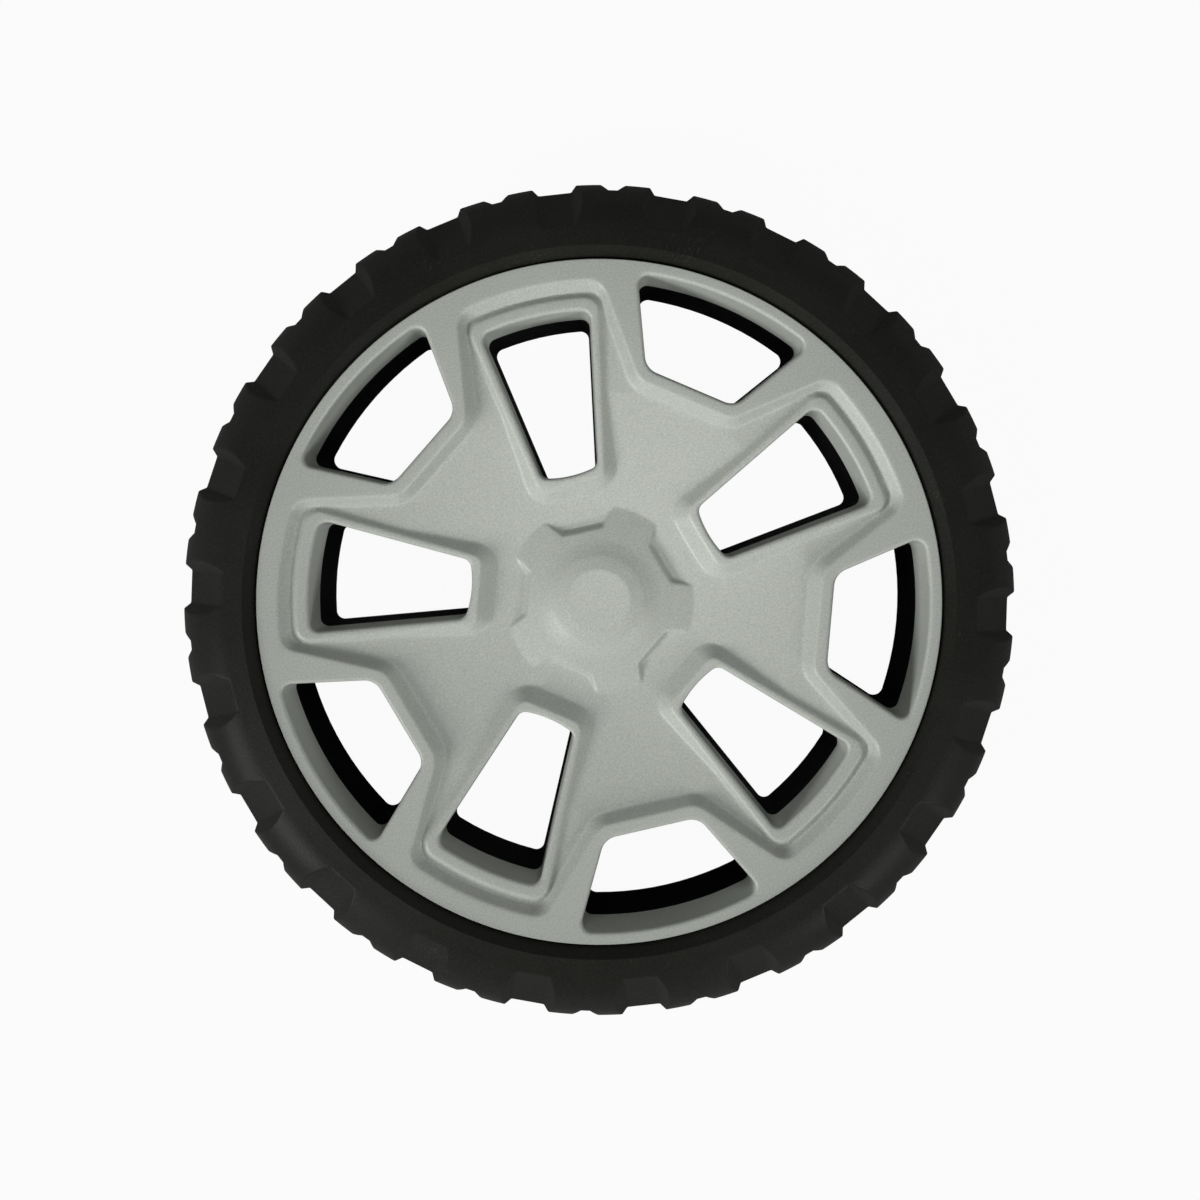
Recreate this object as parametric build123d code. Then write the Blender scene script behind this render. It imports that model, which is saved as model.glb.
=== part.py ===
from build123d import *
import math
import os

# Mower wheel lying on its rear side: axis along +Z, front cover up, z = 0 where it rests.
# Lengths in millimetres, angles in degrees.

# Tyre
tyre_diameter = 248.5
tyre_width = 50.0
crown_width = 26.0
lug_depth = 2.2
lug_pitches = 22
lug_turn = 9.68
notch_floor_width = 9.8
notch_narrow_width = 3.6
notch_wall_spread = 0.85
notch_inner_height = 9.4
lip_width = 3.4
lip_sink = 1.5
sidewall_width = 5.6
sidewall_drop = 0.6
shoulder_bulge = 2.0

# Rim and wheel body
rim_diameter = 201.8
rim_width = 45.0
barrel_wall = 1.7
anchor_width = 12.0
anchor_height = 4.0
anchor_flare = 1.0
web_thickness = 3.0
wall_thickness = 2.2
rib_thickness = 2.6
rib_recess = 2.0
hub_wall = 5.0

# Windows, five of each kind, measured at the cover's front plane
window_count = 5
window_draft = 1.2
long_outer_radius = 85.7
long_inner_radius = 37.9
long_root_half_width = 1.63
long_side_angle = 10.1
long_corner = 2.6
wide_outer_radius = 97.0
wide_inner_chord = 68.4
wide_chord_half_width = 14.1
wide_side_angle = 28.3
wide_outer_corner = 3.0
wide_inner_corner = 5.5

# Front cover
cover_depth = 19.0
cover_wall = 2.5
cover_rim_gap = 0.25
cover_rim_depth = 4.0
cover_edge_round = 0.8
form_edge_round = 1.0
window_edge_round = 1.0
skirt_wall = 1.6
skirt_gap = 0.2
groove_top_radius = 94.4
groove_depth = 3.1
plateau_margin = 4.0
plateau_corner_half_width = 14.7
plateau_side_angle = 43.7
plateau_corner = 6.5
plateau_slope_angle = 55.0
slope_angle = 45.0
dish_bend_radius = 62.0
dish_bend_depth = 4.1
dish_centre_depth = 9.3
dish_centre_radius = 22.0
frame_lip_outer = 3.7
frame_lip_side = 2.4
frame_side_flare = 0.8
frame_lip_inner = 1.5
frame_outer_depth = 1.5
frame_inner_depth = 3.6
frame_outer_corner = 3.0
frame_inner_corner = 2.2

# Star hub of the cover
cap_radius = 9.2
cap_depth = 4.0
ring_radius = 13.9
ring_depth = 5.1
shoulder_radius = 17.7
shoulder_depth = 6.4
lobe_slope = 11.0
scallop_chord = 22.3
scallop_half_width = 5.9
scallop_flare = 50.9
scallop_draft = 28.0

# Snap hooks of the cover
hook_radius = 46.0
hook_width = 8.0
hook_thickness = 2.0
hook_barb = 1.4
hook_barb_height = 2.4
hook_gap = 0.4

# Bearings, one pair with a spacer between the inner rings
axle_diameter = 12.0
bearing_diameter = 28.0
bearing_width = 8.0
bearing_spread = 26.0
bearing_rear_set = 0.5
ball_diameter = 4.762
ball_count = 8
ball_play = 0.08
race_thickness = 2.05
seat_step = 1.8
spacer_wall = 2.6
cage_wall = 1.7
cage_back = 0.42
cage_lip = 1.2
cage_play = 0.06
seal_thickness = 0.7
seal_set = 0.2
seal_hold = 0.7
seal_gap = 0.25

# Levels and radii worked out from the sizes above
crown_radius = tyre_diameter / 2
rim_radius = rim_diameter / 2
mid_plane = tyre_width / 2
front_plane = mid_plane + rim_width / 2
rear_plane = mid_plane - rim_width / 2
seat_plane = front_plane - cover_depth
cover_radius = rim_radius - cover_rim_gap
barrel_top = front_plane - cover_rim_depth
ball_circle = (axle_diameter + bearing_diameter) / 4
ball_radius = ball_diameter / 2
hub_radius = bearing_diameter / 2 + hub_wall
rear_bearing_plane = rear_plane + bearing_rear_set
front_bearing_plane = rear_bearing_plane + bearing_spread - bearing_width
window_pitch = 360 / window_count
over = 2.0


def revolved(points):
    """Closed profile of (radius, height) points turned round the wheel's axis."""
    outline = Polyline(*[(radius, 0, height) for radius, height in points], close=True)
    return revolve(make_face(outline), Axis.Z)


def ring(inner, outer, low, high):
    """Plain ring between two radii and two heights."""
    return revolved([(inner, low), (outer, low), (outer, high), (inner, high)])


def cylinder(radius, low, high):
    """Plain cylinder on the wheel's axis."""
    return revolved([(0, low), (radius, low), (radius, high), (0, high)])


def around(shape, count, start=0.0):
    """Copies of a shape at even steps round the axis, the first turned by start."""
    return [Rot(0, 0, start + 360 / count * step) * shape for step in range(count)]


def polar(radius, angle):
    """Point at a radius and an angle from +X in the sketch plane."""
    return (radius * math.cos(math.radians(angle)), radius * math.sin(math.radians(angle)))


def circle_crossing(radius, start, angle):
    """Where a line from start at an angle meets a circle about the axis, on its far side."""
    step = polar(1, angle)
    along = start[0] * step[0] + start[1] * step[1]
    reach = -along + math.sqrt(along ** 2 - start[0] ** 2 - start[1] ** 2 + radius ** 2)
    return (start[0] + reach * step[0], start[1] + reach * step[1])


def trimmed(solid, point, angle, level, draft):
    """Solid kept left of a line through point at height level, narrowing downwards by the draft."""
    lean = math.radians(draft)
    across = polar(math.cos(lean), angle - 90)
    side = Plane(origin=(*point, level), z_dir=(*across, -math.sin(lean)))
    return split(solid, bisect_by=side, keep=Keep.BOTTOM)


def axis_distance(edge):
    """Distance of an edge's middle from the wheel's axis."""
    middle = edge.position_at(0.5)
    return math.hypot(middle.X, middle.Y)


def top_circles(solid):
    """Circles at a turned solid's highest level, from the smallest."""
    return solid.edges().filter_by(GeomType.CIRCLE).group_by(Axis.Z)[-1].sort_by(SortBy.RADIUS)


def rounded(solid, radius, inside, outside):
    """Solid with its upright edges between two radii rounded."""
    tall = solid.bounding_box().size.Z / 2
    corners = [
        edge for edge in solid.edges()
        if abs(edge.start_point().Z - edge.end_point().Z) > tall
        and inside < math.hypot(edge.center().X, edge.center().Y) < outside
    ]
    return fillet(corners, radius)


def long_block(outer, inner, half_width, angle, low, high, level, draft):
    """Block on +X between two cones and two flat sides; its sizes hold at height level."""
    lean = math.tan(math.radians(draft))
    block = revolved([
        (inner + (level - low) * lean, low),
        (outer - (level - low) * lean, low),
        (outer - (level - high) * lean, high),
        (inner + (level - high) * lean, high),
    ])
    block = trimmed(block, (0, half_width), angle + 180, level, draft)
    return trimmed(block, (0, -half_width), -angle, level, draft)


def wide_block(outer, chord, half_width, angle, low, high, level, draft, outer_draft=0.0):
    """Block on +X between an outer cone, a flat inner side and two flat sides that open outwards."""
    lean = math.tan(math.radians(outer_draft))
    block = revolved([
        (0, low),
        (outer - (level - low) * lean, low),
        (outer - (level - high) * lean, high),
        (0, high),
    ])
    block = trimmed(block, (chord, 0), -90, level, draft)
    block = trimmed(block, (chord, half_width), angle + 180, level, draft)
    return trimmed(block, (chord, -half_width), -angle, level, draft)


def long_window(low, high, growth=0.0):
    """Long window on +X, grown outwards for the walls that line it."""
    slant = growth / math.cos(math.radians(long_side_angle))
    block = long_block(
        long_outer_radius + growth,
        long_inner_radius - growth,
        long_root_half_width + slant,
        long_side_angle, low, high, front_plane, window_draft,
    )
    return rounded(block, long_corner + growth, 0, crown_radius)


def wide_window(low, high, growth=0.0):
    """Wide window on +X, grown outwards for the walls that line it."""
    half_angle = math.radians(90 - wide_side_angle) / 2
    block = wide_block(
        wide_outer_radius + growth,
        wide_inner_chord - growth,
        wide_chord_half_width + growth * math.tan(half_angle),
        wide_side_angle, low, high, front_plane, window_draft, window_draft,
    )
    middle = (wide_outer_radius + wide_inner_chord) / 2
    block = rounded(block, wide_outer_corner + growth, middle, crown_radius)
    return rounded(block, wide_inner_corner + growth, 0, middle)


def windows(low, high, growth=0.0):
    """All ten windows as drafted blocks."""
    return around(long_window(low, high, growth), window_count, 90) + around(
        wide_window(low, high, growth), window_count, 90 + window_pitch / 2
    )


def tyre_half_profile():
    """Points of the tyre's front side, from the bead to the edge of the crown."""
    bead = (rim_radius, front_plane - lip_sink)
    crease = (rim_radius + lip_width, tyre_width - sidewall_drop)
    crest = (crease[0] + sidewall_width / 2, tyre_width)
    shoulder = (crease[0] + sidewall_width, tyre_width - sidewall_drop)
    crown = (crown_radius, mid_plane + crown_width / 2)
    run = (crown[0] - shoulder[0], crown[1] - shoulder[1])
    length = math.hypot(*run)
    bulge = (
        (shoulder[0] + crown[0]) / 2 - shoulder_bulge * run[1] / length,
        (shoulder[1] + crown[1]) / 2 + shoulder_bulge * run[0] / length,
    )
    return bead, crease, crest, shoulder, bulge, crown


def lug_cutter():
    """Groove on +X: a sloping notch in the front shoulder that narrows across the crown."""
    floor_radius = crown_radius - lug_depth
    crown_edge = mid_plane + crown_width / 2
    notch_end = (rim_radius + notch_inner_height, tyre_width - sidewall_drop)
    fall = (floor_radius - notch_end[0]) / (notch_end[1] - crown_edge)
    taper = (notch_floor_width - notch_narrow_width) / crown_width
    front = tyre_width + over
    rear = mid_plane - crown_width / 2 - 2 * lug_depth
    top_radius = crown_radius + over
    sections = []
    for height, floor, width in (
        (front, floor_radius - fall * (front - crown_edge), notch_floor_width),
        (crown_edge, floor_radius, notch_floor_width),
        (rear, floor_radius, notch_floor_width - taper * (crown_edge - rear)),
    ):
        half = width / 2
        top_half = half + notch_wall_spread * (top_radius - floor)
        corners = [(floor, -half), (top_radius, -top_half), (top_radius, top_half), (floor, half)]
        sections.append(make_face(Polyline(*[(x, y, height) for x, y in corners], close=True)))
    return loft(sections, ruled=True)


def make_tyre():
    """Solid tyre turned round the rim, with notches from both shoulders in turn."""
    def placed(point):
        return (point[0], 0, point[1])

    def below(point):
        return (point[0], 0, tyre_width - point[1])

    bead, crease, crest, shoulder, bulge, crown = tyre_half_profile()
    half_anchor = anchor_width / 2
    floor = rim_radius + anchor_height
    anchor = [
        (rim_radius, mid_plane + half_anchor),
        (floor, mid_plane + half_anchor + anchor_flare),
        (floor, mid_plane - half_anchor - anchor_flare),
        (rim_radius, mid_plane - half_anchor),
    ]
    edge = [
        Line(placed(bead), placed(crease)),
        ThreePointArc(placed(crease), placed(crest), placed(shoulder)),
        ThreePointArc(placed(shoulder), placed(bulge), placed(crown)),
        Line(placed(crown), below(crown)),
        ThreePointArc(below(crown), below(bulge), below(shoulder)),
        ThreePointArc(below(shoulder), below(crest), below(crease)),
        Line(below(crease), below(bead)),
        Polyline(below(bead), *[placed(point) for point in reversed(anchor)], placed(bead)),
    ]
    solid = revolve(make_face(edge), Axis.Z)
    front = lug_cutter()
    rear = Pos(0, 0, tyre_width) * mirror(front, Plane.XY)
    start = 90 + lug_turn
    half_pitch = 180 / lug_pitches
    front_cutters = around(front, lug_pitches, start)
    rear_cutters = around(rear, lug_pitches, start + half_pitch)
    return solid - (front_cutters + rear_cutters)


def make_wheel_body():
    """Black wheel: rim barrel, web, lined windows, ribs and a hub with two bearing seats."""
    half_anchor = anchor_width / 2
    barrel = revolved([
        (rim_radius - barrel_wall, rear_plane),
        (rim_radius, rear_plane),
        (rim_radius, mid_plane - half_anchor),
        (rim_radius + anchor_height, mid_plane - half_anchor - anchor_flare),
        (rim_radius + anchor_height, mid_plane + half_anchor + anchor_flare),
        (rim_radius, mid_plane + half_anchor),
        (rim_radius, barrel_top),
        (rim_radius - barrel_wall, barrel_top),
    ])
    web = cylinder(rim_radius - barrel_wall / 2, seat_plane - web_thickness, seat_plane)
    hub_top = rear_bearing_plane + bearing_spread + bearing_rear_set
    hub = cylinder(hub_radius, rear_plane, hub_top)
    lining = [
        wall & cylinder(rim_radius - barrel_wall / 2, rear_plane, seat_plane)
        for wall in windows(rear_plane, seat_plane, wall_thickness)
    ]
    rib_low = rear_plane + rib_recess
    rib_high = seat_plane - web_thickness / 2
    rib_size = (rib_thickness, rib_high - rib_low)
    ribs = []
    for end, start in ((long_inner_radius, 90), (wide_inner_chord, 90 + window_pitch / 2)):
        rib = Pos(end / 2, 0, (rib_low + rib_high) / 2) * Box(end, *rib_size)
        ribs += around(rib, window_count, start)
    solid = barrel + web + hub + lining + ribs
    solid -= windows(rear_plane - over, seat_plane + over)
    seats = [
        cylinder(bearing_diameter / 2, low, low + bearing_width)
        for low in (rear_bearing_plane, front_bearing_plane)
    ]
    mouth = bearing_diameter / 2
    ends = [
        cylinder(mouth, rear_plane - over, rear_bearing_plane),
        cylinder(mouth, front_bearing_plane + bearing_width, hub_top + over),
    ]
    waist = cylinder(bearing_diameter / 2 - seat_step, rear_plane, hub_top)
    solid -= seats + ends + [waist]
    slot = Pos(hook_radius + hook_barb / 2, 0, seat_plane) * Box(
        hook_thickness + hook_barb + 2 * hook_gap, hook_width + 2 * hook_gap, 2 * web_thickness + over
    )
    rib_cut = Pos(hook_radius + hook_barb / 2, 0, seat_plane - web_thickness - hook_barb_height) * Box(
        hook_thickness + hook_barb + 2 * hook_gap, hook_width + 2 * hook_gap, 2 * hook_barb_height + over
    )
    return solid - around(slot + rib_cut, window_count, 90 + window_pitch / 2)


def plateaus():
    """Flat fields round the wide windows, level with the rim, with sloped inner sides."""
    low = front_plane - dish_bend_depth - over
    block = wide_block(
        (groove_top_radius + cover_radius) / 2,
        wide_inner_chord - plateau_margin,
        plateau_corner_half_width,
        plateau_side_angle, low, front_plane, front_plane, plateau_slope_angle - 90,
    )
    middle = (wide_inner_chord + groove_top_radius) / 2
    block = rounded(block, plateau_corner, 0, middle)
    top_edges = block.faces().sort_by(Axis.Z)[-1].edges()
    inner_edges = [edge for edge in top_edges if axis_distance(edge) < groove_top_radius]
    return around(fillet(inner_edges, form_edge_round), window_count, 90 + window_pitch / 2)


def frames():
    """Raised frames round the long windows, with sloped sides and a gently falling top."""
    outer = long_outer_radius + frame_lip_outer
    inner = long_inner_radius - frame_lip_inner
    top = front_plane - frame_outer_depth
    angle = long_side_angle + frame_side_flare
    pivot = circle_crossing(long_outer_radius, (0, long_root_half_width + frame_lip_side), long_side_angle)
    half_width = pivot[1] - pivot[0] * math.tan(math.radians(angle))
    low = front_plane - dish_centre_depth
    block = long_block(outer, inner, half_width, angle, low, top, top, slope_angle - 90)
    middle = (outer + inner) / 2
    block = rounded(block, frame_outer_corner, middle, crown_radius)
    block = rounded(block, frame_inner_corner, 0, middle)
    fall = (frame_inner_depth - frame_outer_depth) / (outer - inner)
    cone = revolved([
        (0, top - fall * outer),
        (outer + over, top + fall * over),
        (outer + over, front_plane + over),
        (0, front_plane + over),
    ])
    block -= cone
    top_face = block.faces().sort_by(lambda face: face.normal_at().Z)[-1]
    return around(fillet(top_face.edges(), form_edge_round), window_count, 90)


def star_hub():
    """Closed hub dome whose skirt is scalloped into five lobes."""
    fall = math.tan(math.radians(lobe_slope))
    reach = dish_centre_radius + (dish_centre_depth - shoulder_depth) / fall
    low = front_plane - dish_centre_depth - over
    dome = revolved([
        (0, front_plane - cap_depth),
        (cap_radius, front_plane - cap_depth),
        (ring_radius, front_plane - ring_depth),
        (shoulder_radius, front_plane - shoulder_depth),
        (reach, front_plane - shoulder_depth - fall * (reach - shoulder_radius)),
        (reach, low - over),
        (0, low - over),
    ])
    scallop = wide_block(
        2 * reach, scallop_chord, scallop_half_width, scallop_flare,
        low - 2 * over, front_plane, front_plane - dish_centre_depth, scallop_draft,
    )
    return dome - around(scallop, window_count, 90)


def cover_form(radius, bottom, edge_round):
    """Front surface of the cover filled down to bottom: dish, rim, fields, frames and hub."""
    groove_foot = groove_top_radius - groove_depth / math.tan(math.radians(slope_angle))
    dish = revolved([
        (0, bottom),
        (radius, bottom),
        (radius, front_plane),
        (groove_top_radius, front_plane),
        (groove_foot, front_plane - groove_depth),
        (dish_bend_radius, front_plane - dish_bend_depth),
        (dish_centre_radius, front_plane - dish_centre_depth),
        (0, front_plane - dish_centre_depth),
    ])
    dish = fillet(top_circles(dish)[0], form_edge_round)
    if edge_round > 0:
        dish = fillet(top_circles(dish)[-1], edge_round)
    return dish + plateaus() + frames() + star_hub()


def make_wheel_cover():
    """Grey front cover: one even shell with window skirts, a rim flange and five snap hooks."""
    flange_radius = rim_radius - barrel_wall - skirt_gap
    solid = cover_form(cover_radius, seat_plane, cover_edge_round)
    hollow = Pos(0, 0, -cover_wall) * cover_form(flange_radius, seat_plane - over, 0)
    flange_cut = ring(flange_radius, cover_radius + over, seat_plane - over, barrel_top)
    skirts = windows(seat_plane - 2 * over, front_plane, skirt_wall)
    turn = 90 + window_pitch / 2
    hollow -= skirts + around(hook_shank(), window_count, turn)
    solid -= [hollow, flange_cut]
    openings = windows(seat_plane - over, front_plane + over)
    solid -= openings
    solid = fillet(front_edges(solid, openings), window_edge_round)
    return solid + around(hook_barb_shape(), window_count, turn)


def front_edges(cover, openings):
    """Edges where the windows' walls meet the front of the cover."""
    low = front_plane - dish_bend_depth - cover_wall / 2
    edges = []
    for edge in cover.edges():
        middle = edge.position_at(0.5)
        if middle.Z > low and min(opening.distance_to(Vertex(middle)) for opening in openings) < 0.002:
            edges.append(edge)
    return edges


def hook_shank():
    """Straight part of a snap hook, from the web up into the cover."""
    height = front_plane - seat_plane + over
    return Pos(hook_radius, 0, seat_plane - over + height / 2) * Box(hook_thickness, hook_width, height)


def hook_barb_shape():
    """End of a snap hook, below the web, with a sloped nose that catches under it."""
    back = hook_radius - hook_thickness / 2
    face = hook_radius + hook_thickness / 2
    catch = seat_plane - web_thickness - hook_gap / 4
    nose = catch - hook_barb_height
    outline = Polyline(
        (back, 0, seat_plane + over), (face, 0, seat_plane + over), (face, 0, catch),
        (face + hook_barb, 0, catch), (face, 0, nose), (back, 0, nose), close=True,
    )
    return extrude(make_face(outline), amount=hook_width / 2, both=True, dir=(0, 1, 0))


def bearing_pieces(low):
    """Sealed ball bearing standing on height low: rings, balls, cage and two seals."""
    middle = low + bearing_width / 2
    high = low + bearing_width
    inner = axle_diameter / 2
    outer = bearing_diameter / 2
    track = revolve(
        Pos(ball_circle, 0, middle) * (Plane.XZ * Circle(ball_radius + ball_play)), Axis.Z
    )
    inner_ring = ring(inner, inner + race_thickness, low, high) - track
    seal_inner = inner + race_thickness + seal_gap
    seal_outer = outer - race_thickness + seal_hold
    seal_seat = seal_set + seal_thickness
    seats = [ring(seal_inner, seal_outer, start, start + seal_seat) for start in (low, high - seal_seat)]
    outer_ring = ring(outer - race_thickness, outer, low, high) - track - seats
    ball = Pos(ball_circle, 0, middle) * Sphere(ball_radius)
    pocket = Pos(ball_circle, 0, middle) * Sphere(ball_radius + cage_play)
    cage = ring(
        ball_circle - cage_wall / 2,
        ball_circle + cage_wall / 2,
        middle - ball_radius - cage_play - cage_back,
        middle + cage_lip,
    ) - around(pocket, ball_count)
    front_seal = ring(seal_inner, seal_outer, high - seal_seat, high - seal_set)
    rear_seal = ring(seal_inner, seal_outer, low + seal_set, low + seal_seat)
    return {
        "outer_ring": outer_ring,
        "inner_ring": inner_ring,
        "balls": Compound(children=around(ball, ball_count)),
        "cage": cage,
        "front_seal": front_seal,
        "rear_seal": rear_seal,
    }


def make_bearing_spacer():
    """Sleeve that keeps the two inner rings apart."""
    inner = axle_diameter / 2
    return ring(inner, inner + spacer_wall, rear_bearing_plane + bearing_width, front_bearing_plane)


def main():
    pieces = {
        "tyre": make_tyre(),
        "wheel_body": make_wheel_body(),
        "wheel_cover": make_wheel_cover(),
        "bearing_spacer": make_bearing_spacer(),
    }
    for place, low in (("front", front_bearing_plane), ("rear", rear_bearing_plane)):
        for name, solid in bearing_pieces(low).items():
            pieces[f"{place}_bearing_{name}"] = solid
    os.makedirs("parts", exist_ok=True)
    for name, solid in pieces.items():
        export_step(solid, f"parts/{name}.step")


main()
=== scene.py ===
"""Looks of the mower wheel: tyre, front cover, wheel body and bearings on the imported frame."""

import logging
import math
from dataclasses import dataclass
from enum import Enum

import bmesh
import bpy
import numpy as np
from mathutils import Matrix, Vector
from mathutils.geometry import delaunay_2d_cdt


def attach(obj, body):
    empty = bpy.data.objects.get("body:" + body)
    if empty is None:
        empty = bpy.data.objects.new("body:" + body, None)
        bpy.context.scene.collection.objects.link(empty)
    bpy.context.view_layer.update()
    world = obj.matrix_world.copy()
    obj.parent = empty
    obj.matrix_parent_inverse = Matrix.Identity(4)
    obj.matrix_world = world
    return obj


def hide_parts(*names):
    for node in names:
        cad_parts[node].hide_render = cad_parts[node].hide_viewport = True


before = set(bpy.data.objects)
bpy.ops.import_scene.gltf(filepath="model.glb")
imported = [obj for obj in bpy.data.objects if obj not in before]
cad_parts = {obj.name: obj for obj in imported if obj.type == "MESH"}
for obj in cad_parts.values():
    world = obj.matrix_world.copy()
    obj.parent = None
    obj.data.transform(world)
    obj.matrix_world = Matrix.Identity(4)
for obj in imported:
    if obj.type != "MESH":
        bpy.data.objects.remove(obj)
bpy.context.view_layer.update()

MILLIMETRE = 0.001
WELD_DISTANCE = 0.004
RAY_COUNT = 1441
RAY_HALVINGS = 36
LONGEST_RAY = 60.0
LOG = logging.getLogger("mower_wheel")


class Slot(Enum):
    """Material slots of the record."""

    TYRE = "tyre_rubber"
    BODY = "body_plastic"
    COVER = "cover_plastic"
    SPACER = "spacer_steel"
    BEARING = "bearing_steel"
    BALL = "ball_steel"
    CAGE = "cage_steel"
    SEAL = "seal_rubber"


class WindowKind(Enum):
    """The two kinds of window, by the angle of the first one from +X in degrees."""

    LONG = 90.0
    WIDE = 126.0


@dataclass(frozen=True)
class WheelLevels:
    """Heights and radii that several pieces share, in millimetres."""

    front: float = 47.5
    barrel_top: float = 43.5
    seat: float = 28.5
    tyre_width: float = 50.0
    rim_radius: float = 100.9
    cover_radius: float = 100.65
    window_count: int = 5


LEVELS = WheelLevels()


def set_inputs(node: bpy.types.Node, values: dict[str | int, object]) -> None:
    """Set a node's inputs by name or number.

    Args:
        node: the node to set.
        values: plain values, or output sockets to link from.
    """
    tree = node.id_data
    for name, value in values.items():
        socket = node.inputs[name]
        if isinstance(value, bpy.types.NodeSocket):
            tree.links.new(value, socket)
        else:
            socket.default_value = value


class NodeSheet:
    """A node tree with short calls for the nodes that the finishes use."""

    def __init__(self, tree: bpy.types.NodeTree) -> None:
        """Keep the tree that the nodes go into.

        Args:
            tree: a material's, a world's or a group's node tree.
        """
        self.tree = tree

    def add(self, kind: str, inputs: dict[str | int, object] | None = None,
            **options: object) -> bpy.types.Node:
        """Add one node.

        Args:
            kind: the node's type name, without the ShaderNode prefix.
            inputs: values or sockets for its inputs.
            options: the node's own settings.

        Returns:
            The new node.
        """
        node = self.tree.nodes.new("ShaderNode" + kind)
        for name, value in options.items():
            setattr(node, name, value)
        set_inputs(node, inputs or {})
        return node

    def math(self, operation: str, first: object, second: object = 0.0,
             clamp: bool = False) -> bpy.types.NodeSocket:
        """Add a math node.

        Args:
            operation: Blender's name of the operation.
            first: first value or socket.
            second: second value or socket.
            clamp: whether the result is held between 0 and 1.

        Returns:
            The result's socket.
        """
        return self.add("Math", {0: first, 1: second}, operation=operation, use_clamp=clamp).outputs[0]

    def spread(self, value: bpy.types.NodeSocket, low: float, high: float,
               to_low: float = 0.0, to_high: float = 1.0) -> bpy.types.NodeSocket:
        """Map a value from one range to another, held inside the second.

        Args:
            value: the socket to map.
            low: value that gives to_low.
            high: value that gives to_high.
            to_low: result at low.
            to_high: result at high.

        Returns:
            The mapped value's socket.
        """
        ends = {"From Min": low, "From Max": high, "To Min": to_low, "To Max": to_high}
        return self.add("MapRange", {"Value": value, **ends}).outputs["Result"]

    def mix(self, mask: object, first: object, second: object) -> bpy.types.NodeSocket:
        """Mix two colours by a mask.

        Args:
            mask: share of the second colour, value or socket.
            first: first colour or socket.
            second: second colour or socket.

        Returns:
            The mixed colour's socket.
        """
        return self.add("Mix", {0: mask, 6: first, 7: second}, data_type="RGBA").outputs[2]

    def close_group(self, results: dict[str | int, object]) -> bpy.types.NodeTree:
        """Finish a group by linking its outputs.

        Args:
            results: the sockets to put out, by output name.

        Returns:
            The group's tree.
        """
        set_inputs(self.tree.nodes.new("NodeGroupOutput"), results)
        return self.tree


def new_group(name: str, inputs: dict[str, float], outputs: list[str]) -> tuple[NodeSheet, bpy.types.Node]:
    """Start a shader node group with named value sockets.

    Args:
        name: the group's name.
        inputs: value inputs with their defaults.
        outputs: names of the value outputs.

    Returns:
        A sheet to fill and the group's input node.
    """
    tree = bpy.data.node_groups.new(name, "ShaderNodeTree")
    for label, default in inputs.items():
        socket = tree.interface.new_socket(name=label, in_out="INPUT", socket_type="NodeSocketFloat")
        socket.default_value = default
    for label in outputs:
        tree.interface.new_socket(name=label, in_out="OUTPUT", socket_type="NodeSocketFloat")
    return NodeSheet(tree), tree.nodes.new("NodeGroupInput")


def new_material(name: str) -> tuple[bpy.types.Material, NodeSheet, bpy.types.Node]:
    """Start a material with its standard shader.

    Args:
        name: the material's name.

    Returns:
        The material, a sheet for its nodes and its Principled shader.
    """
    material = bpy.data.materials.new(name)
    material.use_nodes = True
    return material, NodeSheet(material.node_tree), material.node_tree.nodes["Principled BSDF"]


def moulded_grain_group() -> bpy.types.NodeTree:
    """Grain of a spark-eroded mould: two octaves of fine noise and a slow, blotchy one.

    Returns:
        A group with inputs Size (metres) and Blotch (metres) and outputs Height and Blotch.
    """
    sheet, start = new_group("moulded_grain", {"Size": 0.0004, "Blotch": 0.02}, ["Height", "Blotch"])
    place = sheet.add("TexCoord").outputs["Object"]
    fine_scale = sheet.math("DIVIDE", 1.0, start.outputs["Size"])
    slow_scale = sheet.math("DIVIDE", 1.0, start.outputs["Blotch"])
    fine = sheet.add("TexNoise", {"Vector": place, "Scale": fine_scale, "Detail": 2.0, "Roughness": 0.6})
    slow = sheet.add("TexNoise", {"Vector": place, "Scale": slow_scale, "Detail": 3.0, "Roughness": 0.55})
    return sheet.close_group({"Height": fine.outputs["Fac"], "Blotch": slow.outputs["Fac"]})


def pale_specks_group() -> bpy.types.NodeTree:
    """Dust specks: small round cells of a cell pattern, kept only where the cell's own number is high.

    Returns:
        A group with inputs Spacing (metres), Radius (share of a cell) and Share, and output Mask.
    """
    sheet, start = new_group("pale_specks", {"Spacing": 0.005, "Radius": 0.08, "Share": 0.2}, ["Mask"])
    place = sheet.add("TexCoord").outputs["Object"]
    scale = sheet.math("DIVIDE", 1.0, start.outputs["Spacing"])
    cells = sheet.add("TexVoronoi", {"Vector": place, "Scale": scale})
    number = sheet.add("SeparateColor", {"Color": cells.outputs["Color"]}).outputs["Red"]
    part = sheet.math("DIVIDE", cells.outputs["Distance"], start.outputs["Radius"])
    soft = sheet.math("MULTIPLY", sheet.math("SUBTRACT", 1.0, part), 2.0, clamp=True)
    kept = sheet.math("GREATER_THAN", number, sheet.math("SUBTRACT", 1.0, start.outputs["Share"]))
    return sheet.close_group({"Mask": sheet.math("MULTIPLY", soft, kept)})


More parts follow.
